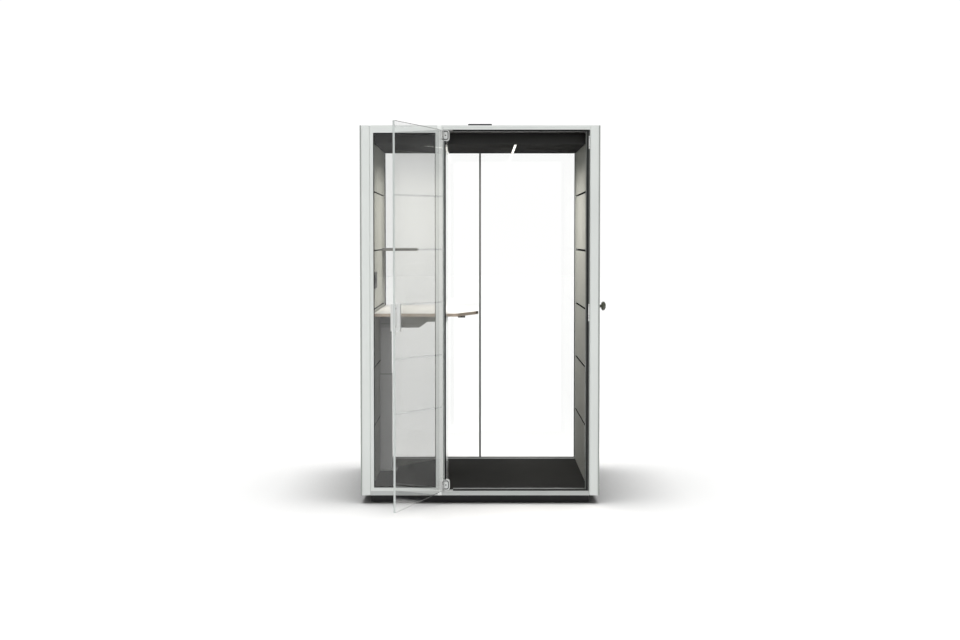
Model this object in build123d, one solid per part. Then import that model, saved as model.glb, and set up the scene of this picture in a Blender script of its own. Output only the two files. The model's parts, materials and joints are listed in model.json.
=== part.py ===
from build123d import *
import os

# A glazed office phone booth: a free-standing acoustic cabin with a frameless glass door,
# a sit-stand desk on a lift column, a shelf, a power module, two light lines and a roof fan.
# Millimetres. +X is right as seen from the door side, +Y runs from the door to the back glass,
# +Z is up. The origin is under the middle of the cabin, where the centre foot meets the ground.
# The door is drawn closed and then turned open about its hinge pins.

# Whole cabin
half_width = 713.0
half_depth = 780.0
frame_bottom = 50.0
frame_top = 2253.0
floor_top = 74.0
sill_top = 76.0
head_bottom = 2228.0

# Extruded frame profiles
post_inner_x = 652.0
post_outer_x = 706.0
post_inner_chamfer = 6.0
panel_edge_radius = 5.0
profile_depth = 60.0
front_back_y = -half_depth + profile_depth
rear_front_y = half_depth - profile_depth
shadow_gap = 2.0
shadow_gap_depth = 12.0
channel_height = 4.0
channel_depth = 3.0
channel_inset = 7.0

# Side walls
tile_face_x = 653.0
tile_back_x = 671.0
tile_count = 6
tile_pitch = 361.5
first_joint_z = 425.5
tile_gap = 8.0

# Floor and base
deck_thickness = 18.0
plinth_half_x = 654.0
plinth_half_y = 722.0
plinth_bar = 60.0
plinth_bottom = 3.0
cross_bottom = 20.0
gusset_size = 120.0
foot_radius = 32.0
foot_height = 10.0
foot_stem_radius = 8.0

# Fixed side light beside the door
light_left_x = -652.0
light_right_x = -253.0
light_bar = 19.0
light_frame_depth = 40.0
glazing_seal = 4.0
light_glass_front_y = -766.0
light_glass_thickness = 10.0
mid_post_left_x = -253.0
mid_post_right_x = -228.0
mid_post_chamfer = 3.0

# Door leaf, closed
hinge_x = -219.5
hinge_y = -774.0
door_open_angle = 106.7
door_left_x = -224.5
door_right_x = 648.5
door_bottom = 79.0
door_top = 2225.0
glass_front_y = -780.0
glass_back_y = -768.0

# Door hinges
pin_radius = 4.0
running_clearance = 0.05
pin_reach = 30.0
pin_seat = 10.0
hinge_height = 54.0
hinge_block_right_x = -180.0
hinge_plate_left_x = -205.5
hinge_plate_right_x = -165.5
hinge_plate_thickness = 4.0
hinge_knuckle_radius = 6.0
bracket_right_x = -181.0
bracket_height = 66.0
bracket_front_y = -758.0
bracket_back_y = -724.0
bracket_corner = 18.0
pocket_margin = 6.0
pocket_depth = 5.0
pocket_corner = 13.0
boss_left_x = -217.0
boss_right_x = -192.0
boss_half_height = 21.0
boss_corner = 11.0
boss_proud = 2.0
boss_screw_radius = 4.0

# Door pulls, one each side of the glass
pull_bottom = 1076.0
pull_top = 1226.0
pull_fin_left_x = 620.5
pull_fin_right_x = 626.5
pull_projection = 22.0
pull_lip = 8.0
pull_lip_thickness = 5.0
pull_bolt_radius = 2.5
pull_bolt_reach = 12.0
pull_bolt_inset = 25.0
pull_bolt_x = (pull_fin_left_x + pull_fin_right_x) / 2

# Door stops, their seals and the catch
stop_front_y = -764.0
stop_back_y = -726.0
stop_left_inner_x = -209.0
stop_right_inner_x = 629.0
stop_rail_left_x = -162.0
stop_rail_height = 11.0
seal_front_y = -767.4
seal_left_x = 635.0
seal_right_x = 644.0
rail_seal_height = 8.0
hinge_seal_left_x = -211.0
hinge_seal_right_x = -203.0
clear_lip_right_x = -190.0
clear_lip_thickness = 2.0
catch_left_x = 644.5
catch_right_x = 651.5
catch_plate_thickness = 2.5
catch_plate_spans = [(1112.0, 1195.0), (2115.0, 2192.0)]
magnet_bottom = 1092.0
magnet_top = 1110.0
magnet_thickness = 3.0

# Back glass
rear_glass_front_y = 737.0
rear_glass_thickness = 10.0
rear_seal_width = 6.0
rear_joint_width = 12.0

# Roof and ceiling
deck_top = 2246.0
raft_bottom = 2163.0
raft_half_x = 648.0
raft_front_y = -407.0
raft_rear_y = 700.0
raft_board = 25.0
raft_rim = 15.0
raft_chamfer = 22.0
raft_slot_width = 400.0
light_line_x = 220.0
light_line_width = 13.0
light_line_depth = 10.0
light_line_front_y = -350.0
light_line_rear_y = 660.0
diffuser_depth = 3.0

# Driver on the raft
driver_left_x = -520.0
driver_right_x = -320.0
driver_front_y = 300.0
driver_back_y = 360.0
driver_height = 30.0

# Roof fan
fan_half = 60.0
fan_y = -30.0
fan_bore = 57.5
rotor_tip = 55.0
rotor_hub = 20.0
blade_count = 7
blade_tilt = 35.0
blade_width = 24.0
blade_thickness = 2.4
fan_strut_height = 3.0
fan_shaft_radius = 2.0
fan_shaft_height = 14.0
cowl_half = 75.0
cowl_top = 2307.5
cowl_flange = 4.0
cowl_ring_height = 28.0
cowl_lid_height = 14.0
cowl_wall = 4.0
cowl_leg = 10.0

# Power lead entry on the roof
gland_x = -520.0
gland_y = 560.0
gland_stem_radius = 10.0
gland_bore_radius = 5.0
gland_nut_radius = 15.0
gland_nut_height = 18.0

# Sit-stand desk
column_left_x = -651.0
column_right_x = -573.0
column_front_y = 135.0
column_back_y = 205.0
column_wall = 3.0
column_slack = 0.5
stage_height = 703.0
inner_stage_bottom = 420.0
foot_plate_height = 4.0
foot_plate_margin = 25.0
desk_top_z = 1130.0
board_thickness = 18.0
laminate_thickness = 1.0
desk_left_x = -643.0
desk_right_x = -11.0
desk_front_y = -590.0
desk_rear_y = 670.0
desk_chamfer_x = 127.0
desk_chamfer_y = 360.0
arm_bottom = 1006.0
arm_neck_bottom = 1044.0
arm_knee_x = -402.0
arm_neck_x = -352.0
arm_end_x = -214.0
arm_overhang = 15.0
arm_sheet = 3.0
motor_radius = 24.0
motor_height = 70.0
spindle_radius = 8.0

# Desk handset under the board, and bag hook on its edge
under_board_z = desk_top_z - laminate_thickness - board_thickness
handset_left_x = -136.0
handset_right_x = -92.0
handset_front_y = -436.0
handset_back_y = -376.0
handset_height = 13.0
handset_bore_depth = 10.0
handset_button_radius = 4.5
handset_button_offset = 10.0
handset_travel_room = 4.0
button_clearance = 0.3
button_proud = 2.0
hook_left_x = -23.0
hook_right_x = -13.0
hook_front_y = -276.0
hook_root_y = -235.0
hook_bottom = 1117.0
hook_bar = 5.0
hook_top = 1131.0

# Shelf
shelf_top = 1521.0
shelf_thickness = 19.0
shelf_right_x = -427.0
shelf_front_y = 417.0
shelf_rear_y = 717.0
shelf_corner = 4.0
support_inset_y = 30.0
support_bar_height = 13.0
support_bar_thickness = 6.0
support_pin_inset = 50.0
support_pin_length = 150.0
support_pin_radius = 5.0

# Wall power module
module_bottom = 1275.0
module_top = 1375.0
module_front_y = -425.0
module_rear_y = -195.0
module_face_x = -647.0
module_corner = 8.0
module_middle_z = (module_bottom + module_top) / 2
socket_places = (-390.0, -335.0)
socket_radius = 21.0
socket_depth = 12.0
socket_wall = 2.0
socket_floor = 4.0
socket_pin_offset = 9.5
socket_pin_radius = 2.5
light_switch_y = -280.0
fan_switch_y = -230.0
switch_radius = 9.0
switch_bore_depth = 13.0
switch_length = 10.0

# Coat knob, outside on the right wall
knob_y = -728.0
knob_z = 1181.0
knob_stem_radius = 9.0
knob_stem_length = 12.0
knob_steps = [(0.0, 19.0), (9.0, 27.5), (19.0, 25.0), (26.0, 13.0)]


def block(x0, x1, y0, y1, z0, z1):
    """A box between two opposite corners."""
    middle = ((x0 + x1) / 2, (y0 + y1) / 2, (z0 + z1) / 2)
    return Pos(*middle) * Box(abs(x1 - x0), abs(y1 - y0), abs(z1 - z0))


def rod(x, y, z0, z1, radius):
    """An upright cylinder."""
    return Pos(x, y, (z0 + z1) / 2) * Cylinder(radius, abs(z1 - z0))


def rod_along_y(x, z, y0, y1, radius):
    """A cylinder lying along Y."""
    return Pos(x, (y0 + y1) / 2, z) * Rot(90, 0, 0) * Cylinder(radius, abs(y1 - y0))


def rod_along_x(y, z, x0, x1, radius):
    """A cylinder lying along X."""
    return Pos((x0 + x1) / 2, y, z) * Rot(0, 90, 0) * Cylinder(radius, abs(x1 - x0))


def mirrored(shape):
    """The same piece on the other side of the cabin."""
    return shape.mirror(Plane.YZ)


def both_sides(shape):
    """A right-hand piece and its mirror image, as one node."""
    return group([shape, mirrored(shape)])


def group(pieces):
    """Separate solids that share one node."""
    solids = [solid for piece in pieces for solid in piece.solids()]
    return Compound(solids)


def save(name, shape):
    """Writes one sub-part."""
    export_step(shape, "parts/" + name + ".step")


def turned_open(shape):
    """Turns a door piece from closed to where the door rests open."""
    hinge_line = Axis((hinge_x, hinge_y, 0), (0, 0, -1))
    return shape.rotate(hinge_line, door_open_angle)


# Base


def levelling_feet():
    """Four corner feet screwed into the gussets and one under the crossing."""
    corner_x = plinth_half_x - plinth_bar - gusset_size / 2
    corner_y = plinth_half_y - plinth_bar - gusset_size / 2
    feet = []
    for x in (-corner_x, corner_x):
        for y in (-corner_y, corner_y):
            pad = rod(x, y, 0, foot_height, foot_radius)
            feet.append(pad + rod(x, y, foot_height, frame_bottom - 6, foot_stem_radius))
    pad = rod(0, 0, 0, foot_height, foot_radius)
    feet.append(pad + rod(0, 0, foot_height, cross_bottom, foot_stem_radius))
    return group(feet)


def base_frame():
    """Recessed plinth ring with a cross and four corner gussets."""
    inner_x = plinth_half_x - plinth_bar
    inner_y = plinth_half_y - plinth_bar
    ring = block(-plinth_half_x, plinth_half_x, -plinth_half_y, plinth_half_y, plinth_bottom, frame_bottom)
    ring -= block(-inner_x, inner_x, -inner_y, inner_y, plinth_bottom, frame_bottom)
    half_bar = plinth_bar / 2
    frame = ring + block(-inner_x, inner_x, -half_bar, half_bar, cross_bottom, frame_bottom)
    frame += block(-half_bar, half_bar, -inner_y, inner_y, cross_bottom, frame_bottom)
    for side_x in (-1, 1):
        for side_y in (-1, 1):
            x0 = side_x * (inner_x - gusset_size)
            y0 = side_y * (inner_y - gusset_size)
            gusset = block(x0, side_x * inner_x, y0, side_y * inner_y, cross_bottom, frame_bottom)
            stem_x = side_x * (inner_x - gusset_size / 2)
            stem_y = side_y * (inner_y - gusset_size / 2)
            gusset -= rod(stem_x, stem_y, cross_bottom, frame_bottom - 6, foot_stem_radius)
            frame += gusset
    return frame


def floor_deck():
    """Plywood floor that carries the walls."""
    top = frame_bottom + deck_thickness
    return block(-tile_back_x, tile_back_x, front_back_y, rear_front_y, frame_bottom, top)


def floor_carpet():
    """Carpet between the wall tiles."""
    bottom = frame_bottom + deck_thickness
    return block(-tile_face_x, tile_face_x, front_back_y, rear_front_y, bottom, floor_top)


# Frame profiles


def front_post():
    """Corner extrusion with a shadow gap beside the outer panel and a chamfered inner edge."""
    post = block(post_inner_x, post_outer_x, -half_depth, front_back_y, frame_bottom, frame_top)
    gap_x = post_outer_x - shadow_gap
    gap_back = -half_depth + shadow_gap_depth
    post -= block(gap_x, post_outer_x, -half_depth, gap_back, frame_bottom, frame_top)
    inner_edge = post.edges().filter_by(Axis.Z).sort_by_distance((post_inner_x, -half_depth, frame_top))[0]
    return chamfer(inner_edge, post_inner_chamfer)


def rear_post():
    """Back corner extrusion, the front one turned round."""
    return front_post().mirror(Plane.XZ)


def rail_pair(z0, z1, pin_z0, pin_z1, channel_z):
    """A front rail in two lengths, either side of the mid post. The door side has a shallow
    channel along its face and a bore for the hinge pin."""
    left = block(light_left_x, mid_post_left_x, -half_depth, front_back_y, z0, z1)
    right = block(mid_post_right_x, post_inner_x, -half_depth, front_back_y, z0, z1)
    channel_back = -half_depth + channel_depth
    channel_top = channel_z + channel_height
    right -= block(mid_post_right_x, post_inner_x, -half_depth, channel_back, channel_z, channel_top)
    right -= rod(hinge_x, hinge_y, pin_z0, pin_z1, pin_radius)
    return group([left, right])


def sill_profile():
    """Bottom rail."""
    channel_z = sill_top - channel_inset - channel_height
    return rail_pair(frame_bottom, sill_top, sill_top - pin_seat, sill_top, channel_z)


def head_profile():
    """Top rail."""
    return rail_pair(head_bottom, frame_top, head_bottom, head_bottom + pin_seat, head_bottom + channel_inset)


def mid_post():
    """Slim upright between the side light and the door, chamfered so that the leaf can open wide."""
    post = block(mid_post_left_x, mid_post_right_x, -half_depth, front_back_y, frame_bottom, frame_top)
    door_edge = post.edges().filter_by(Axis.Z).sort_by_distance((mid_post_right_x, -half_depth, frame_top))[0]
    return chamfer(door_edge, mid_post_chamfer)


def rear_rails():
    """Back bottom and top rails between the rear posts."""
    spans = [(frame_bottom, sill_top), (head_bottom, frame_top)]
    return group([block(-post_inner_x, post_inner_x, rear_front_y, half_depth, z0, z1) for z0, z1 in spans])


# Side light


def pane_frame(x0, x1, y0, y1, z0, z1, bar):
    """A rectangular ring of one bar width."""
    outer = block(x0, x1, y0, y1, z0, z1)
    return outer - block(x0 + bar, x1 - bar, y0, y1, z0 + bar, z1 - bar)


def sidelight_frame():
    """Thin frame round the fixed pane."""
    back = -half_depth + light_frame_depth
    return pane_frame(light_left_x, light_right_x, -half_depth, back, sill_top, head_bottom, light_bar)


def sidelight_seal():
    """Rubber glazing strip round the fixed pane."""
    edges = (light_left_x + light_bar, light_right_x - light_bar)
    y0 = light_glass_front_y - 1.5
    y1 = light_glass_front_y + light_glass_thickness + 1.5
    return pane_frame(*edges, y0, y1, sill_top + light_bar, head_bottom - light_bar, glazing_seal)


def sidelight_glass():
    """Fixed pane."""
    inset = light_bar + glazing_seal
    y1 = light_glass_front_y + light_glass_thickness
    x0 = light_left_x + inset
    x1 = light_right_x - inset
    return block(x0, x1, light_glass_front_y, y1, sill_top + inset, head_bottom - inset)


# Back glass


def rear_glass():
    """One of two panes that meet at the middle joint."""
    y1 = rear_glass_front_y + rear_glass_thickness
    x1 = post_inner_x - rear_seal_width
    z0 = sill_top + rear_seal_width
    z1 = head_bottom - rear_seal_width
    return block(rear_joint_width / 2, x1, rear_glass_front_y, y1, z0, z1)


def rear_joint_strip():
    """Dark strip in the joint between the back panes."""
    y0 = rear_glass_front_y - 2
    y1 = rear_glass_front_y + rear_glass_thickness + 2
    half = rear_joint_width / 2
    return block(-half, half, y0, y1, sill_top + rear_seal_width, head_bottom - rear_seal_width)


def rear_seal():
    """Rubber strip round the back glass."""
    y0 = rear_glass_front_y - 2
    y1 = rear_glass_front_y + rear_glass_thickness + 2
    return pane_frame(-post_inner_x, post_inner_x, y0, y1, sill_top, head_bottom, rear_seal_width)


# Side walls


def outer_panel():
    """Outer skin, the full depth of the cabin, rounded along its outer upright edges."""
    panel = block(post_outer_x, half_width, -half_depth, half_depth, frame_bottom, frame_top)
    outer_edges = panel.edges().filter_by(Axis.Z).filter_by(lambda edge: edge.center().X > half_width - 1)
    return fillet(outer_edges, panel_edge_radius)


def wall_core():
    """Sound-absorbing core behind the tiles."""
    return block(tile_back_x, post_outer_x, front_back_y, rear_front_y, frame_bottom, head_bottom)


def wall_tiles():
    """Six felt tiles with open joints between them."""
    tiles = []
    for row in range(tile_count):
        bottom = first_joint_z + (row - 1) * tile_pitch + tile_gap / 2
        top = first_joint_z + row * tile_pitch - tile_gap / 2
        bottom = max(bottom, frame_bottom + deck_thickness)
        top = min(top, head_bottom)
        tiles.append(block(tile_face_x, tile_back_x, front_back_y, rear_front_y, bottom, top))
    return group(tiles)


def left_wall_tiles():
    """The tiles on the desk side, one of them with a recess for the wall module."""
    tiles = mirrored(wall_tiles()).solids()
    return group([tile - module_blank() for tile in tiles])


# Roof


def roof_deck():
    """Roof board with a square opening for the fan and a hole for the power lead."""
    deck = block(-post_outer_x, post_outer_x, front_back_y, rear_front_y, head_bottom, deck_top)
    deck -= block(-fan_half, fan_half, fan_y - fan_half, fan_y + fan_half, head_bottom, deck_top)
    return deck - rod(gland_x, gland_y, head_bottom, deck_top, gland_stem_radius)


def roof_cover():
    """Sheet over the roof board."""
    cover = block(-post_outer_x, post_outer_x, front_back_y, rear_front_y, deck_top, frame_top)
    cover -= block(-fan_half, fan_half, fan_y - fan_half, fan_y + fan_half, deck_top, frame_top)
    return cover - rod(gland_x, gland_y, deck_top, frame_top, gland_stem_radius)


def raft_outline():
    """Plan of the ceiling raft, with both rear corners cut off."""
    x = raft_half_x
    cut = raft_chamfer
    return [
        (-x, raft_front_y),
        (x, raft_front_y),
        (x, raft_rear_y - cut),
        (x - cut, raft_rear_y),
        (-x + cut, raft_rear_y),
        (-x, raft_rear_y - cut),
    ]


def prism(points, z0, z1):
    """An upright prism on a plan outline."""
    return Pos(0, 0, z0) * extrude(make_face(Polyline(*points, close=True)), z1 - z0)


def ceiling_raft():
    """Sound-absorbing raft: a board with a rim, slotted at the back for the air, with light grooves."""
    raft = prism(raft_outline(), raft_bottom, head_bottom)
    x = raft_half_x - raft_rim
    y0 = raft_front_y + raft_rim
    y1 = raft_rear_y - raft_chamfer
    raft -= block(-x, x, y0, y1, raft_bottom + raft_board, head_bottom)
    slot = raft_slot_width / 2
    raft -= block(-slot, slot, y1, raft_rear_y, raft_bottom + raft_board, head_bottom)
    for side in (-light_line_x, light_line_x):
        raft -= light_groove(side, raft_bottom, light_line_depth)
    return raft


def light_groove(x, z0, depth):
    """The straight length that a light line takes."""
    half = light_line_width / 2
    return block(x - half, x + half, light_line_front_y, light_line_rear_y, z0, z0 + depth)


def light_profiles():
    """Aluminium channels of the two light lines."""
    z0 = raft_bottom + diffuser_depth
    depth = light_line_depth - diffuser_depth
    return group([light_groove(x, z0, depth) for x in (-light_line_x, light_line_x)])


def light_diffusers():
    """White lenses of the two light lines."""
    return group([light_groove(x, raft_bottom, diffuser_depth) for x in (-light_line_x, light_line_x)])


def light_driver():
    """Driver and fan supply, lying in the raft."""
    z0 = raft_bottom + raft_board
    return block(driver_left_x, driver_right_x, driver_front_y, driver_back_y, z0, z0 + driver_height)


# Roof fan


def fan_square(half, z0, z1):
    """A square block centred on the fan."""
    return block(-half, half, fan_y - half, fan_y + half, z0, z1)


def fan_housing():
    """Square fan frame with a shaft on four struts."""
    z0 = head_bottom
    strut_top = z0 + fan_strut_height
    body = fan_square(fan_half, z0, frame_top)
    body -= rod(0, fan_y, z0, frame_top, fan_bore)
    body += rod(0, fan_y, z0, strut_top, rotor_hub - 1)
    for turn in range(4):
        strut = block(rotor_hub / 2, fan_bore + 1, -3, 3, z0, strut_top)
        body += Pos(0, fan_y, 0) * Rot(0, 0, 45 + 90 * turn) * strut
    return body + rod(0, fan_y, z0, z0 + fan_shaft_height, fan_shaft_radius)


def fan_rotor():
    """Hub and slanted blades on the fan shaft."""
    z0 = head_bottom + fan_strut_height + 1
    z1 = frame_top - 2
    rotor = rod(0, 0, z0, z1, rotor_hub)
    middle = (rotor_hub + rotor_tip) / 2
    length = rotor_tip - rotor_hub + 4
    blade = Rot(blade_tilt, 0, 0) * Box(length, blade_width, blade_thickness)
    blade = Pos(middle - 2, 0, (z0 + z1) / 2) * blade
    for turn in range(blade_count):
        rotor += Rot(0, 0, turn * 360 / blade_count) * blade
    rotor &= rod(0, 0, z0, z1, rotor_tip)
    rotor -= rod(0, 0, z0, head_bottom + fan_shaft_height + 1, fan_shaft_radius + running_clearance)
    return Pos(0, fan_y, 0) * rotor


def fan_cowl():
    """Square rain-hat outlet on the roof: a flange, a round ring, four corner legs and a flat lid."""
    flange_top = frame_top + cowl_flange
    ring_top = frame_top + cowl_ring_height
    lid_bottom = cowl_top - cowl_lid_height
    lid_under = cowl_top - cowl_wall
    inner = cowl_half - cowl_wall
    cowl = fan_square(cowl_half, frame_top, flange_top)
    cowl += rod(0, fan_y, flange_top, ring_top, fan_bore + cowl_wall)
    cowl -= rod(0, fan_y, frame_top, ring_top, fan_bore)
    cowl += fan_square(cowl_half, lid_bottom, cowl_top) - fan_square(inner, lid_bottom, lid_under)
    leg = block(inner - cowl_leg, inner, inner - cowl_leg, inner, flange_top, lid_under)
    for turn in range(4):
        cowl += Pos(0, fan_y, 0) * Rot(0, 0, 90 * turn) * leg
    return cowl


def cable_gland():
    """Gland that the building's power lead enters by."""
    gland = rod(gland_x, gland_y, head_bottom, frame_top, gland_stem_radius)
    nut = extrude(RegularPolygon(gland_nut_radius, 6), gland_nut_height)
    gland += Pos(gland_x, gland_y, frame_top) * nut
    return gland - rod(gland_x, gland_y, head_bottom, frame_top + gland_nut_height, gland_bore_radius)


# Door


def door_glass():
    """Frameless leaf, notched at both hinge corners and drilled for the pulls."""
    leaf = block(door_left_x, door_right_x, glass_front_y, glass_back_y, door_bottom, door_top)
    for z0, z1 in hinge_spans():
        leaf -= block(door_left_x, hinge_block_right_x, glass_front_y, glass_back_y, z0, z1)
    for z in pull_bolt_heights():
        leaf -= rod_along_y(pull_bolt_x, z, glass_front_y, glass_back_y, pull_bolt_radius)
    return turned_open(leaf)


def hinge_spans():
    """Bottom and top of each hinge corner of the leaf."""
    return [(door_bottom, door_bottom + hinge_height), (door_top - hinge_height, door_top)]


def hinge_blocks():
    """Metal blocks in the leaf's notches, bored for the pins."""
    blocks = []
    for z0, z1 in hinge_spans():
        body = block(hinge_x, hinge_block_right_x, glass_front_y, glass_back_y, z0, z1)
        body += rod(hinge_x, hinge_y, z0, z1, hinge_knuckle_radius)
        blocks.append(body - rod(hinge_x, hinge_y, z0, z1, pin_radius + running_clearance))
    return turned_open(group(blocks))


def hinge_plates():
    """Clamp plates on both faces of the leaf over each block."""
    plates = []
    for z0, z1 in hinge_spans():
        for y0, y1 in (
            (glass_front_y - hinge_plate_thickness, glass_front_y),
            (glass_back_y, glass_back_y + hinge_plate_thickness),
        ):
            plate = block(hinge_plate_left_x, hinge_plate_right_x, y0, y1, z0, z1)
            plates.append(fillet(plate.edges().filter_by(Axis.Y), 5))
    return turned_open(group(plates))


def hinge_pins():
    """Upright pins fixed in the sill and head profiles."""
    lower = rod(hinge_x, hinge_y, sill_top - pin_seat, sill_top + pin_reach, pin_radius)
    upper = rod(hinge_x, hinge_y, head_bottom - pin_reach, head_bottom + pin_seat, pin_radius)
    return group([lower, upper])


def rounded_pad(x0, x1, y0, y1, z0, z1, corner):
    """A block whose corners are rounded as seen from the front."""
    pad = block(x0, x1, y0, y1, z0, z1)
    return fillet(pad.edges().filter_by(Axis.Y), corner)


def hinge_brackets():
    """Rounded corner blocks behind the leaf that stiffen the pin seats. Each has a pocket in its
    front with a screw boss standing in it."""
    brackets = []
    spans = [(sill_top, sill_top + bracket_height), (head_bottom - bracket_height, head_bottom)]
    for z0, z1 in spans:
        left = mid_post_right_x
        body = rounded_pad(left, bracket_right_x, bracket_front_y, bracket_back_y, z0, z1, bracket_corner)
        pocket_edges = (left + pocket_margin, bracket_right_x - pocket_margin)
        pocket_floor = bracket_front_y + pocket_depth
        pocket_z = (z0 + pocket_margin, z1 - pocket_margin)
        body -= rounded_pad(*pocket_edges, bracket_front_y, pocket_floor, *pocket_z, pocket_corner)
        x = (boss_left_x + boss_right_x) / 2
        z = (z0 + z1) / 2
        boss_front_y = bracket_front_y - boss_proud
        boss_z = (z - boss_half_height, z + boss_half_height)
        body += rounded_pad(boss_left_x, boss_right_x, boss_front_y, pocket_floor, *boss_z, boss_corner)
        brackets.append(body - rod_along_y(x, z, boss_front_y, pocket_floor, boss_screw_radius))
    return group(brackets)


def pull_bolt_heights():
    """Heights of the two bolts that clamp the pulls."""
    return (pull_bottom + pull_bolt_inset, pull_top - pull_bolt_inset)


def door_pulls():
    """A pair of upright fins with a lip to hook the fingers behind."""
    fin = block(
        pull_fin_left_x, pull_fin_right_x, glass_back_y, glass_back_y + pull_projection, pull_bottom, pull_top
    )
    lip_front = glass_back_y + pull_projection - pull_lip_thickness
    lip_back = glass_back_y + pull_projection
    fin += block(pull_fin_left_x - pull_lip, pull_fin_left_x, lip_front, lip_back, pull_bottom, pull_top)
    for z in pull_bolt_heights():
        fin -= rod_along_y(pull_bolt_x, z, glass_back_y, glass_back_y + pull_bolt_reach, pull_bolt_radius)
    middle_y = (glass_front_y + glass_back_y) / 2
    return turned_open(group([fin, fin.mirror(Plane.XZ.offset(-middle_y))]))


def pull_bolts():
    """Bolts through the glass that clamp the two pulls together."""
    y0 = glass_front_y - pull_bolt_reach
    y1 = glass_back_y + pull_bolt_reach
    bolts = [rod_along_y(pull_bolt_x, z, y0, y1, pull_bolt_radius) for z in pull_bolt_heights()]
    return turned_open(group(bolts))


def door_stops():
    """Angle strips behind the leaf on all four sides of the opening."""
    side_bottom = sill_top + bracket_height
    side_top = head_bottom - bracket_height
    left = block(mid_post_right_x, stop_left_inner_x, stop_front_y, stop_back_y, side_bottom, side_top)
    right = block(stop_right_inner_x, post_inner_x, stop_front_y, stop_back_y, sill_top, head_bottom)
    top_z = head_bottom - stop_rail_height
    bottom_z = sill_top + stop_rail_height
    top = block(stop_rail_left_x, stop_right_inner_x, stop_front_y, stop_back_y, top_z, head_bottom)
    bottom = block(stop_rail_left_x, stop_right_inner_x, stop_front_y, stop_back_y, sill_top, bottom_z)
    return group([left, right, top, bottom])


def door_seals():
    """Soft strips on the stops that the leaf closes against. The one on the hinge side sits
    clear of the leaf's turning edge."""
    side_bottom = sill_top + bracket_height
    side_top = head_bottom - bracket_height
    left = block(hinge_seal_left_x, hinge_seal_right_x, seal_front_y, stop_front_y, side_bottom, side_top)
    right = block(seal_left_x, seal_right_x, seal_front_y, stop_front_y, sill_top, head_bottom)
    strips = [
        block(stop_rail_left_x, seal_left_x, seal_front_y, stop_front_y, z, z + rail_seal_height)
        for z in (head_bottom - rail_seal_height, sill_top)
    ]
    return group([left, right, *strips])


def clear_lip():
    """Clear plastic strip that closes the gap behind the leaf on the hinge side."""
    side_bottom = sill_top + bracket_height
    side_top = head_bottom - bracket_height
    y1 = stop_front_y + clear_lip_thickness
    return block(stop_left_inner_x, clear_lip_right_x, stop_front_y, y1, side_bottom, side_top)


def door_catch():
    """Two catch plates on the right stop, and a small magnet housing under the lower one."""
    magnet_front_y = stop_front_y - magnet_thickness
    pieces = [block(catch_left_x, catch_right_x, magnet_front_y, stop_front_y, magnet_bottom, magnet_top)]
    for z0, z1 in catch_plate_spans:
        plate = block(catch_left_x, catch_right_x, stop_front_y - catch_plate_thickness, stop_front_y, z0, z1)
        pieces.append(fillet(plate.edges().filter_by(Axis.Y), 3))
    return group(pieces)


def coat_knob():
    """Faceted knob on a short stem, outside on the right wall, for a coat."""
    wide_x = half_width + knob_stem_length
    stem = rod_along_x(knob_y, knob_z, half_width, wide_x, knob_stem_radius)
    wide = Plane((wide_x, knob_y, knob_z), x_dir=(0, 1, 0), z_dir=(1, 0, 0))
    faces = [wide.offset(height) * RegularPolygon(radius, 8) for height, radius in knob_steps]
    return stem + loft(faces, ruled=True)


# Desk


def tube(x0, x1, y0, y1, z0, z1, wall):
    """A rectangular tube open at both ends."""
    outer = block(x0, x1, y0, y1, z0, z1)
    return outer - block(x0 + wall, x1 - wall, y0 + wall, y1 - wall, z0, z1)


def lift_column_outer():
    """Fixed lower stage of the lift column, welded to its floor plate."""
    plate_top = floor_top + foot_plate_height
    edges = (column_left_x, column_right_x, column_front_y, column_back_y)
    stage = tube(*edges, plate_top, stage_height, column_wall)
    plate_right_x = column_right_x + foot_plate_margin
    plate_front_y = column_front_y - foot_plate_margin
    plate_back_y = column_back_y + foot_plate_margin
    return stage + block(column_left_x, plate_right_x, plate_front_y, plate_back_y, floor_top, plate_top)


def lift_column_inner():
    """Sliding upper stage, closed by a cap under the arm."""
    inset = column_wall + column_slack
    edges = (column_left_x + inset, column_right_x - inset, column_front_y + inset, column_back_y - inset)
    return tube(*edges, inner_stage_bottom, arm_bottom, column_wall)


def lift_spindle():
    """Threaded spindle that stands in the column and drives the upper stage."""
    x = (column_left_x + column_right_x) / 2
    y = (column_front_y + column_back_y) / 2
    return rod(x, y, floor_top + foot_plate_height, stage_height - 10, spindle_radius)


def lift_motor():
    """Geared motor inside the arm, over the column."""
    x = (column_left_x + column_right_x) / 2
    y = (column_front_y + column_back_y) / 2
    return rod(x, y, arm_bottom + 12, arm_bottom + 12 + motor_height, motor_radius)


def desk_arm():
    """Cantilever arm: a folded sheet box that runs out under the board, open at its far end."""
    top = under_board_z
    left = column_left_x + column_wall + column_slack
    outline = [
        (left, arm_bottom),
        (arm_knee_x, arm_bottom),
        (arm_neck_x, arm_neck_bottom),
        (arm_end_x, arm_neck_bottom),
        (arm_end_x, top),
        (left, top),
    ]
    y0 = column_front_y - arm_overhang
    y1 = column_back_y + arm_overhang
    side = make_face(Polyline(*outline, close=True))
    arm = upright_slab(side, y0, y1) - upright_slab(offset(side, -arm_sheet), y0 + arm_sheet, y1 - arm_sheet)
    z0 = arm_neck_bottom + arm_sheet
    return arm - block(arm_end_x - 10, arm_end_x, y0 + arm_sheet, y1 - arm_sheet, z0, top - arm_sheet)


def upright_slab(side, y0, y1):
    """A side view drawn in X and Z, thickened along Y."""
    return extrude(Plane((0, y1, 0), x_dir=(1, 0, 0), z_dir=(0, -1, 0)) * side, y1 - y0)


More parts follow.
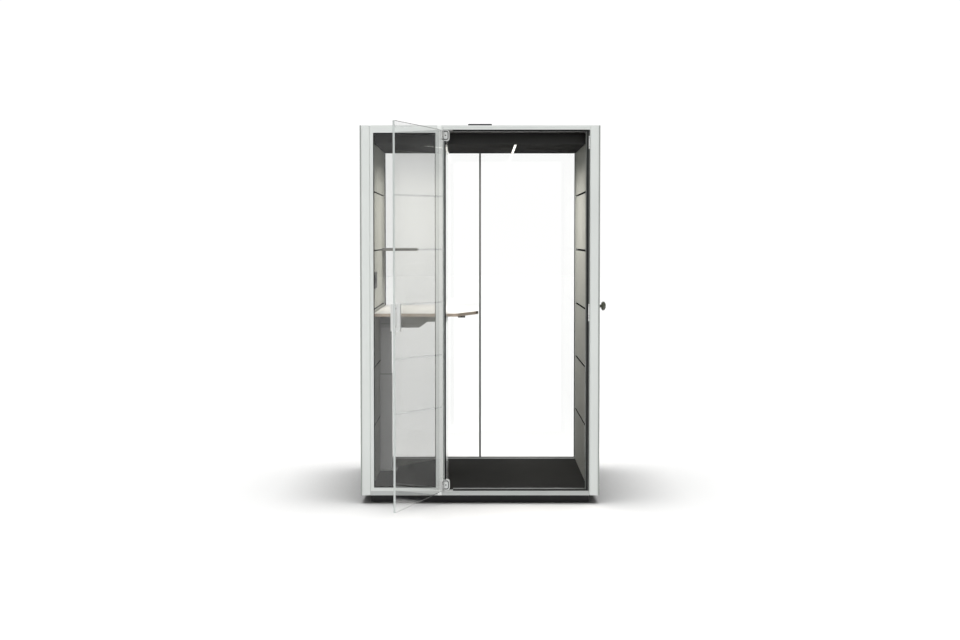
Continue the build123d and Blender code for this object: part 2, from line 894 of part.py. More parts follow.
def desk_outline():
    """Plan of the board, narrower at its front and back."""
    return [
        (desk_left_x, desk_front_y),
        (desk_right_x - desk_chamfer_x, desk_front_y),
        (desk_right_x, desk_front_y + desk_chamfer_y),
        (desk_right_x, desk_rear_y - desk_chamfer_y),
        (desk_right_x - desk_chamfer_x, desk_rear_y),
        (desk_left_x, desk_rear_y),
    ]


def desk_board():
    """Birch plywood board with its raw edge showing."""
    board = prism(desk_outline(), under_board_z, desk_top_z - laminate_thickness)
    return round_desk_corners(board)


def desk_laminate():
    """White top sheet."""
    return round_desk_corners(prism(desk_outline(), desk_top_z - laminate_thickness, desk_top_z))


def round_desk_corners(slab):
    """Rounds the four free corners of the board."""
    corners = slab.edges().filter_by(Axis.Z).filter_by(lambda edge: edge.center().X > desk_left_x + 1)
    return fillet(corners, 30)


def handset_button_places():
    """Centres of the up and down buttons on the front of the handset."""
    middle = (handset_left_x + handset_right_x) / 2
    z = under_board_z - handset_height / 2
    return [(middle + handset_button_offset, z), (middle - handset_button_offset, z)]


def handset_case():
    """Control handset screwed under the board."""
    bottom = under_board_z - handset_height
    bore_back = handset_front_y + handset_bore_depth
    case = block(handset_left_x, handset_right_x, handset_front_y, handset_back_y, bottom, under_board_z)
    for x, z in handset_button_places():
        case -= rod_along_y(x, z, handset_front_y, bore_back, handset_button_radius + button_clearance)
    return case


def handset_button(place):
    """One round push button, proud of the handset's front."""
    x, z = place
    back = handset_front_y + handset_bore_depth - handset_travel_room
    return rod_along_y(x, z, handset_front_y - button_proud, back, handset_button_radius)


def bag_hook():
    """Small peg on the slanted edge of the board, with an upturned tip."""
    seat = hook_bottom + hook_bar
    tip_back = hook_front_y + hook_bar
    peg = block(hook_left_x, hook_right_x, hook_front_y, hook_root_y, hook_bottom, seat)
    tip = block(hook_left_x, hook_right_x, hook_front_y, tip_back, seat, hook_top)
    hook = (peg - desk_board()) + tip
    return hook.solids().sort_by(Axis.Y)[0]


# Shelf


def shelf():
    """Board in the left rear corner, grooved and drilled for its hidden support."""
    bottom = shelf_top - shelf_thickness
    board = block(-tile_face_x, shelf_right_x, shelf_front_y, shelf_rear_y, bottom, shelf_top)
    corners = board.edges().filter_by(Axis.Z).filter_by(lambda edge: edge.center().X > -tile_face_x + 1)
    return fillet(corners, shelf_corner) - shelf_support()


def shelf_support():
    """Steel bar on the wall with two pins that the shelf slides onto."""
    z = shelf_top - shelf_thickness / 2
    half_bar = support_bar_height / 2
    bar_x = -tile_face_x + support_bar_thickness
    y0 = shelf_front_y + support_inset_y
    y1 = shelf_rear_y - support_inset_y
    support = block(-tile_face_x, bar_x, y0, y1, z - half_bar, z + half_bar)
    for y in (shelf_front_y + support_pin_inset, shelf_rear_y - support_pin_inset):
        support += rod_along_x(y, z, bar_x, bar_x + support_pin_length, support_pin_radius)
    return support


# Power module


def module_blank():
    """The rounded block that the wall module fills, let into a tile."""
    blank = block(-tile_back_x, module_face_x, module_front_y, module_rear_y, module_bottom, module_top)
    return fillet(blank.edges().filter_by(Axis.X), module_corner)


def module_case():
    """Wall case with recesses for two sockets and two switches."""
    case = module_blank()
    socket_back = module_face_x - socket_depth - socket_floor
    for y in socket_places:
        case -= rod_along_x(y, module_middle_z, socket_back, module_face_x, socket_radius + socket_wall)
    switch_back = module_face_x - switch_bore_depth
    for y in (light_switch_y, fan_switch_y):
        case -= rod_along_x(y, module_middle_z, switch_back, module_face_x, switch_radius + button_clearance)
    return case


def module_sockets():
    """Two round socket cups with pin holes."""
    sockets = []
    back = module_face_x - socket_depth - socket_floor
    floor = back + socket_floor
    for y in socket_places:
        cup = rod_along_x(y, module_middle_z, back, module_face_x, socket_radius + socket_wall)
        cup -= rod_along_x(y, module_middle_z, floor, module_face_x, socket_radius)
        for pin_y in (y - socket_pin_offset, y + socket_pin_offset):
            cup -= rod_along_x(pin_y, module_middle_z, back, floor, socket_pin_radius)
        sockets.append(cup)
    return group(sockets)


def module_switch(y):
    """One round push switch, proud of the case."""
    x0 = module_face_x - switch_length
    return rod_along_x(y, module_middle_z, x0, module_face_x + button_proud, switch_radius)


def main():
    """Builds every sub-part and writes it."""
    os.makedirs("parts", exist_ok=True)
    save("levelling_feet", levelling_feet())
    save("base_frame", base_frame())
    save("floor_deck", floor_deck())
    save("floor_carpet", floor_carpet())
    save("sill_profile", sill_profile())
    save("head_profile", head_profile())
    save("mid_post", mid_post())
    save("rear_rails", rear_rails())
    save("front_posts", both_sides(front_post()))
    save("rear_posts", both_sides(rear_post()))
    save("wall_cores", both_sides(wall_core()))
    for name, piece in (
        ("outer_panel", outer_panel()),
        ("rear_glass", rear_glass()),
    ):
        save(name + "_right", piece)
        save(name + "_left", mirrored(piece))
    save("wall_tiles_right", wall_tiles())
    save("wall_tiles_left", left_wall_tiles())
    save("rear_joint_strip", rear_joint_strip())
    save("sidelight_frame", sidelight_frame())
    save("sidelight_glass", sidelight_glass())
    save("glazing_seals", group([sidelight_seal(), rear_seal()]))
    save("roof_deck", roof_deck())
    save("roof_cover", roof_cover())
    save("ceiling_raft", ceiling_raft())
    save("light_profiles", light_profiles())
    save("light_diffusers", light_diffusers())
    save("light_driver", light_driver())
    save("fan_housing", fan_housing())
    save("fan_rotor", fan_rotor())
    save("fan_cowl", fan_cowl())
    save("cable_gland", cable_gland())
    save("door_glass", door_glass())
    save("hinge_blocks", hinge_blocks())
    save("hinge_plates", hinge_plates())
    save("hinge_pins", hinge_pins())
    save("hinge_brackets", hinge_brackets())
    save("door_pulls", door_pulls())
    save("pull_bolts", pull_bolts())
    save("door_stops", door_stops())
    save("door_seals", door_seals())
    save("clear_lip", clear_lip())
    save("door_catch", door_catch())
    save("coat_knob", coat_knob())
    save("lift_column_outer", lift_column_outer())
    save("lift_column_inner", lift_column_inner())
    save("lift_spindle", lift_spindle())
    save("lift_motor", lift_motor())
    save("desk_arm", desk_arm())
    save("desk_board", desk_board())
    save("desk_laminate", desk_laminate())
    save("handset_case", handset_case())
    up_place, down_place = handset_button_places()
    save("handset_button_up", handset_button(up_place))
    save("handset_button_down", handset_button(down_place))
    save("bag_hook", bag_hook())
    save("shelf", shelf())
    save("shelf_support", shelf_support())
    save("module_case", module_case())
    save("module_sockets", module_sockets())
    save("light_switch", module_switch(light_switch_y))
    save("fan_switch", module_switch(fan_switch_y))


main()
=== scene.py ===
"""Looks of a glazed office phone booth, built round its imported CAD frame.
Metres. +X is right as seen from the door side, +Y runs from the door to the back glass, +Z is up."""

import json
import math

import bmesh
import bpy
from mathutils import Matrix, Vector


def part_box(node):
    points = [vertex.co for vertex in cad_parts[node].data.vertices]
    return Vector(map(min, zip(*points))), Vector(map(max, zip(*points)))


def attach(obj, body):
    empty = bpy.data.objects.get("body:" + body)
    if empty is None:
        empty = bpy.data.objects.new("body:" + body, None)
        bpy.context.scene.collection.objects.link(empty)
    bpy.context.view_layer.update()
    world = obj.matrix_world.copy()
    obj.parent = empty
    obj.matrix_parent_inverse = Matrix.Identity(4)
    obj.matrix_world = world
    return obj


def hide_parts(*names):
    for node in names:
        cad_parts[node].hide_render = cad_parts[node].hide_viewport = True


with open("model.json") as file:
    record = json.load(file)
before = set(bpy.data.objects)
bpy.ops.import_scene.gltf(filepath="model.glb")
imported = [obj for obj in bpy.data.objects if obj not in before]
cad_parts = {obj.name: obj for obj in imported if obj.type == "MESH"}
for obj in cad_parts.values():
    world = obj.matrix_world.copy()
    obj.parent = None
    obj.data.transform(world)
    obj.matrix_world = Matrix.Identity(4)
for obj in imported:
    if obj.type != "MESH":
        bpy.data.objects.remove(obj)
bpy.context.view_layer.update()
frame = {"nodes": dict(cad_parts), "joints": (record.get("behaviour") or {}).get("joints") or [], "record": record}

X = Vector((1, 0, 0))
Y = Vector((0, 1, 0))
Z = Vector((0, 0, 1))

# Camera
CAMERA_PLACE = (0.0, -10.634, 1.580)
CAMERA_TILT = math.radians(-2.79)
CAMERA_LENS = 62.19
CAMERA_SENSOR = 36.0
CAMERA_REACH = 200.0

# Light. A lean turns a light from straight down towards the door side.
LENS_STRENGTH = 1.2
LINE_POWER = 9.0
LINE_SPREAD = math.radians(158)
LINE_COLOUR = (1.0, 0.95, 0.89)
WORLD_SEEN = 1.05
WORLD_BEHIND_CAMERA = 0.22
WORLD_BEHIND_BOOTH = 0.12
FLOOR_BOUNCE = 0.22
# How far from the booth the floor's painted contact shadow reaches.
PAINTED_SHADOW_REACH = 0.6
TOP_STRENGTH = 2.9
TOP_SOFTNESS = math.radians(50)
TOP_LEAN = 0.0
FRONT_STRENGTH = 2.4
FRONT_SOFTNESS = math.radians(20)
FRONT_LEAN = math.radians(84)
LINE_DROP = 0.003
FLOOR_SIZE = 60.0

# Surfaces
ALONG_Z = (6.0, 6.0, 0.15)
# Height above which the door stops are painted darker: painted shade under the head.
STOP_SHADE_BOTTOM = 2.2165
FLAT_FACE = 0.3

# Rounding of the CAD nodes' edges
FRAME_EDGE = 0.0012
SHEET_EDGE = 0.0010
FELT_EDGE = 0.0022
FITTING_EDGE = 0.0006
CASE_EDGE = 0.0015

# Door leaf, hinges and pulls
LEAF_ARRIS = 0.0022
HINGE_HEIGHT = 0.054
HINGE_SCREW_RADIUS = 0.0042
HINGE_SCREW_OFFSET = 0.004
HINGE_SCREW_INSET = 0.013
HINGE_SCREW_PITCH = 0.028
PULL_FIN_THICKNESS = 0.006
PULL_BOLT_INSET = 0.025

# Frame joint, hinge brackets and catch
JOINT_HALF_WIDTH = 0.0009
JOINT_INSET = 0.002
BRACKET_HEIGHT = 0.066
BOSS_OFFSET = 0.0235
BOSS_DEPTH = 0.007
BOSS_SCREW_RADIUS = 0.0046
BOSS_SCREW_HEIGHT = 0.0045
POCKET_DEPTH = 0.007
POCKET_MARGIN = 0.0064
POCKET_CORNER = 0.0126
# Near-black ring laid in each bracket's pocket: painted shade of the pocket.
POCKET_SHADE_RING = 0.0042
POCKET_SHADE_RING_PROUD = 0.004
CORNER_STEPS = 6
CATCH_STEP = 0.0005
CATCH_SCREW_RADIUS = 0.0026
CATCH_SCREW_INSET = 0.012
CATCH_SPANS = ((1.112, 1.195), (2.115, 2.192))

# Roof
ROOF_SCREW_RADIUS = 0.005
ROOF_SCREW_INSET = 0.018
COWL_SCREW_RADIUS = 0.0035
COWL_SCREW_INSET = 0.007
COWL_FLANGE = 0.004
COWL_LID = 0.004
COWL_RING_HEIGHT = 0.028
COWL_GUARD_RADIUS = 0.0595
COWL_WIRES = 24
COWL_WIRE = 0.0008
COWL_HOOPS = (0.007, 0.014)

# Desk
COLLAR_WIDTH = 0.0035
COLLAR_HEIGHT = 0.0022
COLLAR_CHAMFER = 0.0010
COLLAR_GAP = 0.0003
PLATE_THICKNESS = 0.004
PLATE_BOLT_RADIUS = 0.0065
PLATE_BOLT_HEIGHT = 0.006
PLATE_BOLT_INSET = 0.012
PLATE_BOLT_OFFSET = 0.020
# Black strips along the arm's sides, painted shade along its dark lines: their depth below the arm's top, where
# the lower one ends, and their width.
ARM_UPPER_SHADE_LINE = 0.034
ARM_LOWER_SHADE_LINE = 0.080
ARM_SHADE_LINE_END = -0.392
ARM_SHADE_LINE_WIDTH = 0.0022

# Power module, light lines and feet
SOCKET_PLACES = (-0.390, -0.335)
SOCKET_CLIP_REACH = 0.0208
MODULE_SCREW_RADIUS = 0.0032
MODULE_SCREW_INSET = 0.012
LIGHT_LINE_WIDTH = 0.013
LIGHT_LINE_X = 0.220
LIGHT_CAP_REACH = 0.002
FOOT_RADIUS = 0.032
FOOT_NUT_SEAT = 0.0135


# Materials


class Finish:
    """One procedural material, built node by node in front of a Principled shader."""

    def __init__(self, name, **sockets):
        self.material = bpy.data.materials.new(name)
        self.material.use_nodes = True
        self.tree = self.material.node_tree
        self.shader = self.tree.nodes["Principled BSDF"]
        for socket, value in sockets.items():
            self.shader.inputs[socket.replace("_", " ")].default_value = value
        self.place = self.node("ShaderNodeTexCoord")
        self.relief = None

    def node(self, kind, **settings):
        made = self.tree.nodes.new(kind)
        for name, value in settings.items():
            setattr(made, name, value)
        return made

    def link(self, source, target):
        self.tree.links.new(source, target)

    def stretched(self, stretch):
        """Object coordinates, scaled along each axis."""
        scaled = self.node("ShaderNodeMapping")
        scaled.inputs["Scale"].default_value = stretch
        self.link(self.place.outputs["Object"], scaled.inputs["Vector"])
        return scaled.outputs["Vector"]

    def noise(self, scale, detail=2.0, roughness=0.5, stretch=(1, 1, 1)):
        """Cloudy noise from 0 to 1, scale features to the metre."""
        made = self.node("ShaderNodeTexNoise")
        made.inputs["Scale"].default_value = scale
        made.inputs["Detail"].default_value = detail
        made.inputs["Roughness"].default_value = roughness
        self.link(self.stretched(stretch), made.inputs["Vector"])
        return made.outputs["Fac"]

    def cells(self, scale, stretch):
        """Distance to the nearest of scattered points."""
        made = self.node("ShaderNodeTexVoronoi")
        made.inputs["Scale"].default_value = scale
        self.link(self.stretched(stretch), made.inputs["Vector"])
        return made.outputs["Distance"]

    def bands(self, scale, direction, distortion):
        """Straight bands from 0 to 1 across one axis."""
        made = self.node("ShaderNodeTexWave", bands_direction=direction)
        made.inputs["Scale"].default_value = scale
        made.inputs["Distortion"].default_value = distortion
        self.link(self.place.outputs["Object"], made.inputs["Vector"])
        return made.outputs["Fac"]

    def between(self, value, low, high):
        """Stretches a value that runs from about 0.3 to 0.7 over low to high."""
        made = self.node("ShaderNodeMapRange")
        made.inputs["From Min"].default_value = 0.3
        made.inputs["From Max"].default_value = 0.7
        made.inputs["To Min"].default_value = low
        made.inputs["To Max"].default_value = high
        self.link(value, made.inputs["Value"])
        return made.outputs["Result"]

    def ramp(self, value, stops):
        """A colour for each value, blended between stops of (value, colour)."""
        made = self.node("ShaderNodeValToRGB")
        elements = made.color_ramp.elements
        while len(elements) < len(stops):
            elements.new(0.5)
        for element, (position, colour) in zip(elements, stops):
            element.position = position
            element.color = (*colour, 1.0)
        self.link(value, made.inputs["Fac"])
        return made.outputs["Color"]

    def mixed(self, share, first, second, blend="MIX"):
        """Two colour sockets mixed by a value socket or a number."""
        made = self.node("ShaderNodeMix", data_type="RGBA", blend_type=blend)
        if isinstance(share, float):
            made.inputs["Factor"].default_value = share
        else:
            self.link(share, made.inputs["Factor"])
        self.link(first, made.inputs["A"])
        self.link(second, made.inputs["B"])
        return made.outputs["Result"]

    def mottled(self, colour, spread, value):
        """A colour that varies by a share of itself, either way."""
        dark = [channel * (1 - spread) for channel in colour]
        light = [min(1.0, channel * (1 + spread)) for channel in colour]
        return self.ramp(value, [(0.3, dark), (0.7, light)])

    def flat_faces(self, axis):
        """1 on faces that look along an axis, 0 on the others."""
        split = self.node("ShaderNodeSeparateXYZ")
        self.link(self.place.outputs["Normal"], split.inputs["Vector"])
        size = self.node("ShaderNodeMath", operation="ABSOLUTE")
        self.link(split.outputs[axis], size.inputs[0])
        over = self.node("ShaderNodeMath", operation="GREATER_THAN")
        over.inputs[1].default_value = FLAT_FACE
        self.link(size.outputs["Value"], over.inputs[0])
        return over.outputs["Value"]

    def above(self, height):
        """1 where the object is higher than a height, 0 below it."""
        split = self.node("ShaderNodeSeparateXYZ")
        self.link(self.place.outputs["Object"], split.inputs["Vector"])
        over = self.node("ShaderNodeMath", operation="GREATER_THAN")
        over.inputs[1].default_value = height
        self.link(split.outputs["Z"], over.inputs[0])
        return over.outputs["Value"]

    def colour(self, socket):
        self.link(socket, self.shader.inputs["Base Color"])

    def roughness(self, value, low, high):
        self.link(self.between(value, low, high), self.shader.inputs["Roughness"])

    def bump(self, value, depth):
        """Adds relief of a depth in metres, on top of any before it."""
        made = self.node("ShaderNodeBump")
        made.inputs["Distance"].default_value = depth
        made.inputs["Strength"].default_value = 1.0
        self.link(value, made.inputs["Height"])
        if self.relief is not None:
            self.link(self.relief, made.inputs["Normal"])
        self.relief = made.outputs["Normal"]
        self.link(self.relief, self.shader.inputs["Normal"])


def powder_coat(name, colour, roughness):
    """Baked paint with a fine orange peel and slow drift in tone."""
    finish = Finish(name, Coat_Weight=0.08, Coat_Roughness=0.3)
    finish.colour(finish.mottled(colour, 0.03, finish.noise(2.2, 3.0)))
    finish.roughness(finish.noise(35.0, 3.0), roughness - 0.05, roughness + 0.05)
    finish.bump(finish.noise(900.0, 2.0), 0.00003)
    return finish.material


def stop_coat_shaded_top(colour, shaded_top_colour, shade_height):
    """Coat of the door stops. Above a height it is darker, which is painted shade under the head on the top stop
    rail.
    """
    finish = Finish("stop_coat_shaded_top", Coat_Weight=0.08, Coat_Roughness=0.3)
    tone = finish.noise(2.2, 3.0)
    low = finish.mottled(colour, 0.03, tone)
    # The darker colour above that height is painted shade under the head.
    high = finish.mottled(shaded_top_colour, 0.03, tone)
    finish.colour(finish.mixed(finish.above(shade_height), low, high))
    finish.roughness(finish.noise(35.0, 3.0), 0.37, 0.47)
    finish.bump(finish.noise(900.0, 2.0), 0.00003)
    return finish.material


def moulded_plastic(name, colour, roughness):
    """Matt plastic with a spark-eroded grain."""
    finish = Finish(name)
    finish.colour(finish.mottled(colour, 0.06, finish.noise(60.0, 4.0)))
    finish.roughness(finish.noise(220.0, 2.0), roughness - 0.06, roughness + 0.06)
    finish.bump(finish.noise(2400.0, 2.0), 0.00003)
    return finish.material


def rubber(name, colour):
    """Dull rubber with a faint bloom."""
    finish = Finish(name, Specular_IOR_Level=0.3)
    finish.colour(finish.mottled(colour, 0.2, finish.noise(25.0, 4.0)))
    finish.roughness(finish.noise(80.0, 3.0), 0.6, 0.8)
    finish.bump(finish.noise(1500.0, 2.0), 0.00004)
    return finish.material


def anodised(name, colour, roughness, metallic=1.0):
    """Satin metal with fine upright lines."""
    finish = Finish(name, Metallic=metallic)
    lines = finish.noise(40.0, 3.0, 0.6, ALONG_Z)
    finish.colour(finish.mottled(colour, 0.05, lines))
    finish.roughness(lines, roughness - 0.06, roughness + 0.08)
    finish.bump(lines, 0.000012)
    return finish.material


def felt(name, colour, spread, depth, axis=None, edge=None):
    """Pressed wool felt: mixed fibres, soft clouds and a napped surface. The faces that look along an axis may
    take another flat colour, which is painted light or painted shade on them."""
    finish = Finish(name, Sheen_Weight=0.02, Sheen_Roughness=0.5, Specular_IOR_Level=0.1)
    fibres = finish.mottled(colour, spread, finish.noise(420.0, 5.0, 0.75))
    clouds = finish.mottled((0.5, 0.5, 0.5), 0.12, finish.noise(6.0, 3.0))
    face = finish.mixed(0.5, fibres, clouds, "SOFT_LIGHT")
    # Faces that look along the axis take the edge colour: painted light or painted shade on them.
    if axis is not None:
        cut = finish.mottled(edge, spread, finish.noise(420.0, 5.0, 0.75))
        face = finish.mixed(finish.flat_faces(axis), face, cut)
    finish.colour(face)
    finish.roughness(finish.noise(300.0, 2.0), 0.88, 0.98)
    finish.bump(finish.noise(650.0, 5.0, 0.7), depth)
    finish.bump(finish.noise(90.0, 3.0), depth)
    return finish.material


def carpet(name):
    """Dense looped pile in two near-black yarns."""
    finish = Finish(name, Sheen_Weight=0.05, Sheen_Roughness=0.6, Specular_IOR_Level=0.05)
    yarn = finish.noise(260.0, 4.0, 0.8)
    loops = finish.cells(320.0, (1.0, 0.7, 1.0))
    worn = finish.mottled((0.5, 0.5, 0.5), 0.15, finish.noise(4.0, 3.0))
    shades = [(0.32, (0.011, 0.011, 0.010)), (0.55, (0.019, 0.019, 0.018)), (0.72, (0.040, 0.039, 0.037))]
    finish.colour(finish.mixed(0.5, finish.ramp(yarn, shades), worn, "SOFT_LIGHT"))
    finish.roughness(yarn, 0.9, 1.0)
    finish.bump(loops, 0.0016)
    finish.bump(yarn, 0.0006)
    return finish.material


def birch_plywood(name):
    """Plies in the raw edge, and rotary-cut veneer on the broad faces."""
    finish = Finish(name, Coat_Weight=0.05, Coat_Roughness=0.35)
    plies = finish.ramp(
        finish.bands(112.0, "Z", 0.35),
        [(0.30, (0.30, 0.22, 0.16)), (0.45, (0.46, 0.38, 0.31)), (0.75, (0.54, 0.47, 0.40))],
    )
    end_grain = finish.mottled((0.5, 0.5, 0.5), 0.25, finish.noise(160.0, 4.0, 0.6, (1.0, 1.0, 7.0)))
    edge = finish.mixed(0.6, plies, end_grain, "SOFT_LIGHT")
    grain = finish.noise(9.0, 6.0, 0.62, (6.0, 0.5, 6.0))
    veneer = finish.ramp(
        grain,
        [(0.3, (0.52, 0.38, 0.24)), (0.52, (0.68, 0.53, 0.36)), (0.72, (0.76, 0.62, 0.44))],
    )
    finish.colour(finish.mixed(finish.flat_faces("Z"), edge, veneer))
    finish.roughness(grain, 0.42, 0.58)
    finish.bump(grain, 0.00008)
    return finish.material


def laminate(name, colour):
    """Matt white high-pressure laminate with a pearl texture."""
    finish = Finish(name, Coat_Weight=0.1, Coat_Roughness=0.25)
    finish.colour(finish.mottled(colour, 0.015, finish.noise(18.0, 4.0)))
    finish.roughness(finish.noise(120.0, 3.0), 0.36, 0.46)
    finish.bump(finish.noise(1100.0, 2.0), 0.00002)
    return finish.material


def clear_glass(name, tint, roughness=0.0):
    """Clear float glass. Its tint drifts very slightly over the pane."""
    finish = Finish(name, Transmission_Weight=1.0, IOR=1.5, Roughness=roughness)
    finish.colour(finish.mottled(tint, 0.004, finish.noise(1.5, 1.0)))
    return finish.material


def painted_glass_rim(name, colour):
    """Ground and polished rim of thick glass in one flat colour. A pale grey-green rim is partly its own look and
    partly painted light it gathers. A near-black rim is painted shade.
    """
    finish = Finish(name, IOR=1.5, Transmission_Weight=0.1, Coat_Weight=1.0, Coat_Roughness=0.05)
    streaks = finish.noise(30.0, 3.0, 0.6, (4.0, 4.0, 0.4))
    finish.colour(finish.mottled(colour, 0.06, streaks))
    finish.roughness(streaks, 0.12, 0.22)
    return finish.material


def lit_lens(name, colour, strength):
    """Opal lens with light behind it, a little brighter over each diode."""
    finish = Finish(name, Roughness=0.4, Emission_Strength=strength)
    diodes = finish.mottled(colour, 0.04, finish.noise(50.0, 2.0))
    finish.colour(diodes)
    finish.link(diodes, finish.shader.inputs["Emission Color"])
    return finish.material


finishes = {
    "feet": rubber("foot_rubber", (0.03, 0.03, 0.03)),
    "plinth": powder_coat("plinth_coat", (0.009, 0.009, 0.0095), 0.5),
    "plywood": birch_plywood("floor_plywood"),
    "ceiling_board": laminate("film_faced_board", (0.030, 0.030, 0.029)),
    "carpet": carpet("pile_carpet"),
    "frame_paint": powder_coat("frame_coat", (0.66, 0.685, 0.665), 0.38),
    "panel_paint": powder_coat("panel_coat", (0.36, 0.38, 0.36), 0.4),
    # The top stop rail is painted darker: painted shade under the head.
    "stop_paint": stop_coat_shaded_top((0.080, 0.086, 0.082), (0.026, 0.027, 0.026), STOP_SHADE_BOTTOM),
    "dark_core": felt("core_felt", (0.006, 0.006, 0.006), 0.2, 0.0004),
    # Wall felt: the faces that look up and down, in the tiles' joints, are painted near-black. This is painted
    # shade in the joints.
    "felt": felt("wall_felt", (0.416, 0.429, 0.402), 0.28, 0.0005, "Z", (0.006, 0.006, 0.006)),
    # Raft felt: the faces that look to the door and the back are painted lighter. This is painted light on its
    # front face.
    "dark_felt": felt("raft_felt", (0.007, 0.007, 0.0068), 0.3, 0.0005, "Y", (0.045, 0.045, 0.044)),
    "glass": clear_glass("pane_glass", (0.985, 0.99, 0.988)),
    "clear_plastic": clear_glass("lip_plastic", (0.93, 0.94, 0.93), 0.12),
    "rubber": rubber("seal_rubber", (0.006, 0.006, 0.006)),
    "dark_trim": moulded_plastic("joint_plastic", (0.05, 0.05, 0.05), 0.5),
    "aluminium": anodised("anodised_aluminium", (0.72, 0.735, 0.73), 0.3, 0.45),
    "black_plastic": moulded_plastic("black_plastic", (0.018, 0.018, 0.018), 0.5),
    "button_plastic": moulded_plastic("grey_plastic", (0.09, 0.09, 0.09), 0.45),
    "black_metal": powder_coat("black_coat", (0.006, 0.006, 0.006), 0.45),
    "hinge_metal": anodised("satin_aluminium", (0.74, 0.75, 0.74), 0.36, 0.35),
    "steel": anodised("bright_steel", (0.58, 0.58, 0.57), 0.25),
    "knob_metal": powder_coat("knob_coat", (0.075, 0.078, 0.06), 0.35),
    "column_paint": powder_coat("column_coat", (0.29, 0.29, 0.287), 0.42),
    "arm_paint": powder_coat("arm_coat", (0.22, 0.22, 0.22), 0.42),
    "birch": birch_plywood("birch_plywood"),
    "white_laminate": laminate("white_laminate", (0.84, 0.84, 0.82)),
    "shelf_paint": powder_coat("shelf_coat", (0.17, 0.17, 0.165), 0.42),
    "light_lens": lit_lens("lit_lens", LINE_COLOUR, LENS_STRENGTH),
}
# Sill: a darker copy of the frame coat, painted shade on the sill.
sill_shaded_coat = powder_coat("sill_shaded_coat", (0.47, 0.487, 0.474), 0.42)
# Mid post: a lighter copy of the frame coat. This is painted light on the post that stands behind the open leaf.
mid_post_lit_coat = powder_coat("mid_post_lit_coat", (0.79, 0.81, 0.79), 0.38)
sidelight_glass = clear_glass("sidelight_glass", (0.83, 0.835, 0.83))
leaf_glass = clear_glass("leaf_glass", (0.995, 0.998, 0.996))
# Pale rim for the leaf's upright edges, partly its own look and partly painted light. Near-black rim for its top
# and bottom edges, painted shade.
pale_rim_painted_light = painted_glass_rim("rim_painted_light", (0.62, 0.655, 0.64))
dark_rim_painted_shade = painted_glass_rim("rim_painted_shade", (0.04, 0.043, 0.042))


# CAD nodes that stay, with rounded edges


def paint_cad_nodes():
    """Gives every CAD node the finish of its record slot."""
    for row in frame["record"]["subparts"]:
        node = frame["nodes"][row["node"]]
        node.material_slots[0].material = finishes[row["material_slot"]]
    frame["nodes"]["sidelight_glass"].material_slots[0].material = sidelight_glass
    # The sill's darker copy of the frame coat is painted shade.
    frame["nodes"]["sill_profile"].material_slots[0].material = sill_shaded_coat
    # The mid post's lighter copy of the frame coat is painted light.
    frame["nodes"]["mid_post"].material_slots[0].material = mid_post_lit_coat


def soften(node, radius):
    """Rounds a CAD node's edges without touching its mesh."""
    thing = frame["nodes"][node]
    weld = thing.modifiers.new("weld", "WELD")
    weld.merge_threshold = 0.00002
    flatten = thing.modifiers.new("flatten", "DECIMATE")
    flatten.decimate_type = "DISSOLVE"
    flatten.angle_limit = math.radians(1)
    bevel = thing.modifiers.new("round", "BEVEL")
    bevel.limit_method = "ANGLE"
    bevel.angle_limit = math.radians(28)
    bevel.width = radius
    bevel.segments = 2


EDGE_RADII = {
    "front_posts": FRAME_EDGE,
    "rear_posts": FRAME_EDGE,
    "mid_post": FRAME_EDGE,
    "sill_profile": FRAME_EDGE,
    "head_profile": FRAME_EDGE,
    "rear_rails": FRAME_EDGE,
    "sidelight_frame": FRAME_EDGE,
    "door_stops": SHEET_EDGE,
    "desk_arm": SHEET_EDGE,
    "base_frame": SHEET_EDGE,
    "door_seals": SHEET_EDGE,
    "wall_tiles_left": FELT_EDGE,
    "wall_tiles_right": FELT_EDGE,
    "ceiling_raft": FELT_EDGE,
    "hinge_brackets": FITTING_EDGE,
    "hinge_blocks": FITTING_EDGE,
    "hinge_plates": FITTING_EDGE,
    "door_pulls": FITTING_EDGE,
    "door_catch": FITTING_EDGE,
    "coat_knob": FITTING_EDGE,
    "bag_hook": FITTING_EDGE,
    "fan_cowl": FITTING_EDGE,
    "shelf": CASE_EDGE,
    "floor_carpet": CASE_EDGE,
    "module_case": CASE_EDGE,
    "handset_case": CASE_EDGE,
    "lift_column_outer": CASE_EDGE,
    "lift_column_inner": CASE_EDGE,
    "light_driver": CASE_EDGE,
}

paint_cad_nodes()
for name, radius in EDGE_RADII.items():
    soften(name, radius)


# Making pieces


def new_piece(name, bm, slot, body, *replaced):
    """Turns a finished bmesh into a smooth-shaded piece that rides on a body."""
    mesh = bpy.data.meshes.new(name)
    bmesh.ops.recalc_face_normals(bm, faces=bm.faces)
    bm.to_mesh(mesh)
    bm.free()
    piece = bpy.data.objects.new(name, mesh)
    bpy.context.scene.collection.objects.link(piece)
    for face in mesh.polygons:
        face.use_smooth = True
    mesh.set_sharp_from_angle(angle=math.radians(35))
    mesh.materials.append(finishes[slot])
    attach(piece, body)
    for node in replaced:
        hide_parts(node)
    return piece


def join(bm, loops):
    """Joins each loop of corners to the next one with a band of faces."""
    for lower, upper in zip(loops, loops[1:]):
        for step in range(len(lower)):
            after = (step + 1) % len(lower)
            bm.faces.new((lower[step], lower[after], upper[after], upper[step]))


def add_box(bm, low, high, radius):
    """Adds a block between two corners, with rounded edges."""
    low, high = Vector(low), Vector(high)
    made = bmesh.ops.create_cube(bm, size=1.0)
    for vert in made["verts"]:
        vert.co = (low + high) / 2 + vert.co * (high - low)
    edges = {edge for vert in made["verts"] for edge in vert.link_edges}
    bmesh.ops.bevel(bm, geom=list(edges), offset=radius, segments=2, profile=0.5, affect="EDGES")


